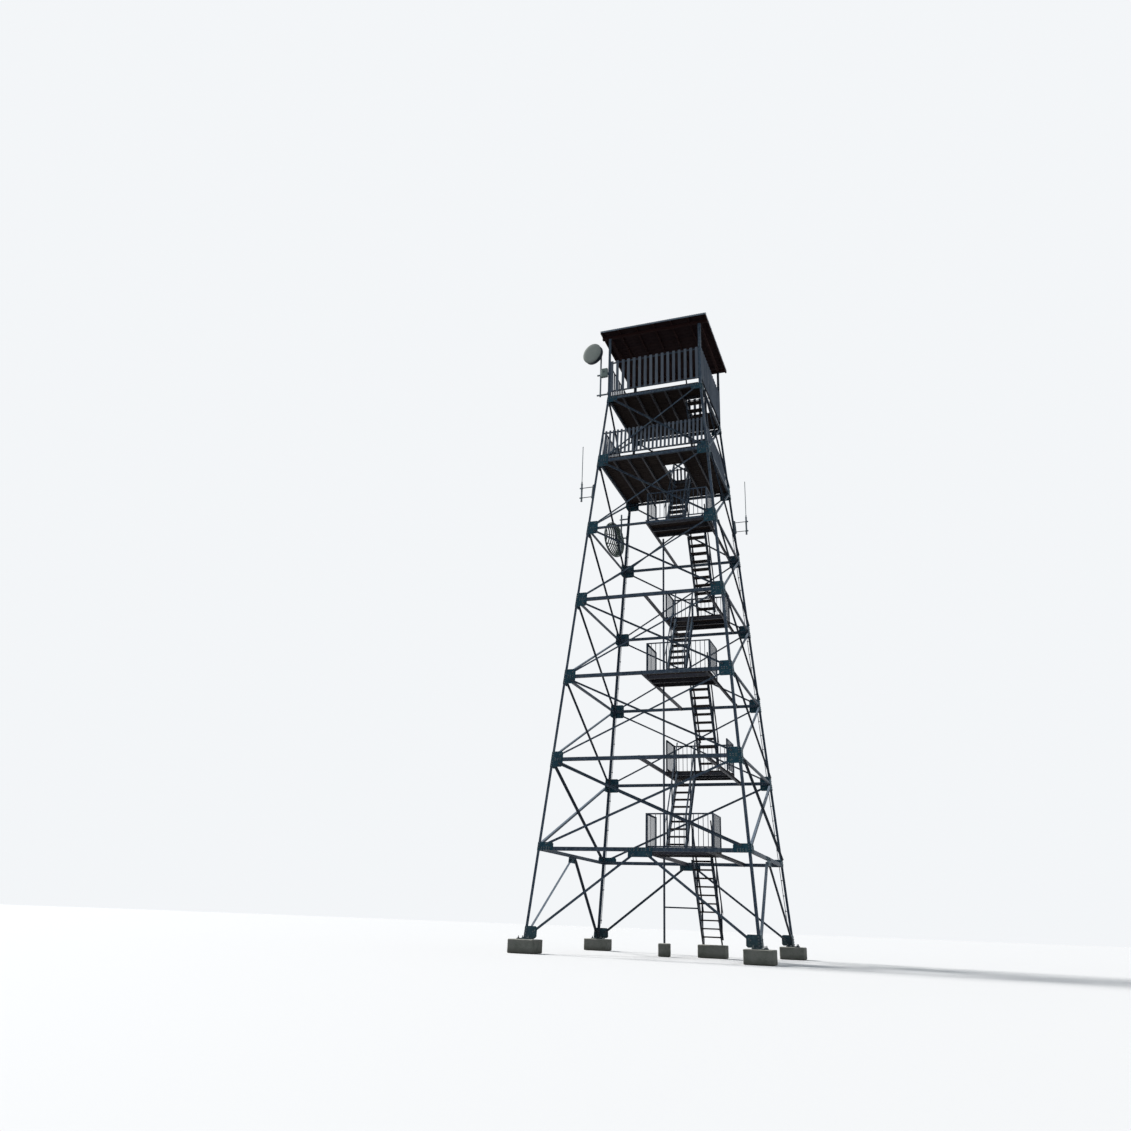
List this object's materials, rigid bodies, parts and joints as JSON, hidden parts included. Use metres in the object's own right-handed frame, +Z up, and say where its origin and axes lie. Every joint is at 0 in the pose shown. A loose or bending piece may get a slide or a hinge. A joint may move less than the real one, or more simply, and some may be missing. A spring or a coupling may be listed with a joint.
{
  "type": "fire lookout tower",
  "caption": "Open steel fire lookout tower on four braced legs, with a switchback stair, two railed decks, a flat roof and small antennas.",
  "frame": {"origin": "centre of the four footings, at the level of their undersides", "axes": "+Z up; the front face, at which the picture looks, is towards -Y; +X is to the right seen from the front"},
  "size_m": [6.845, 6.845, 19.84],
  "materials": {
    "structural_steel": "weathered grey-green galvanised coating",
    "timber_planks": "weathered, dark-stained planks",
    "railing_slats": "weathered grey boards",
    "roof_timber": "reddish brown stained timber",
    "footing_concrete": "rough cast concrete",
    "roof_sheet": "weathered galvanised sheet",
    "antenna_shell": "matt pale grey cover",
    "radio_case": "matt pale grey case",
    "antenna_grid": "dull grey cast grid"
  },
  "bodies": {
    "root": {"base_plates": "structural_steel", "leg_front_left": "structural_steel", "leg_front_right": "structural_steel", "leg_back_right": "structural_steel", "leg_back_left": "structural_steel", "girts_front": "structural_steel", "girts_right": "structural_steel", "girts_back": "structural_steel", "girts_left": "structural_steel", "braces_front": "structural_steel", "braces_right": "structural_steel", "braces_back": "structural_steel", "braces_left": "structural_steel", "gusset_plates": "structural_steel", "stair_bearers": "structural_steel", "landing_joists": "structural_steel", "landing_rails": "structural_steel", "flight_1": "structural_steel", "flight_2": "structural_steel", "flight_3": "structural_steel", "flight_4": "structural_steel", "flight_5": "structural_steel", "flight_6": "structural_steel", "flight_7": "structural_steel", "stair_handrails": "structural_steel", "stair_post": "structural_steel", "deck_joists": "structural_steel", "deck_headers": "structural_steel", "deck_rails": "structural_steel", "roof_posts": "structural_steel", "antenna_masts": "structural_steel", "whip_antennas": "structural_steel", "grid_antenna": "antenna_grid", "landings": "timber_planks", "stair_treads": "timber_planks", "lower_deck_floor": "timber_planks", "upper_deck_floor": "timber_planks", "deck_slats": "railing_slats", "roof_beams": "roof_timber", "roof_rafters": "roof_timber", "roof_boards": "roof_timber", "footings": "footing_concrete", "roof_sheet": "roof_sheet", "dish_antenna": "antenna_shell", "radio_unit": "radio_case"}
  },
  "joints": []
}
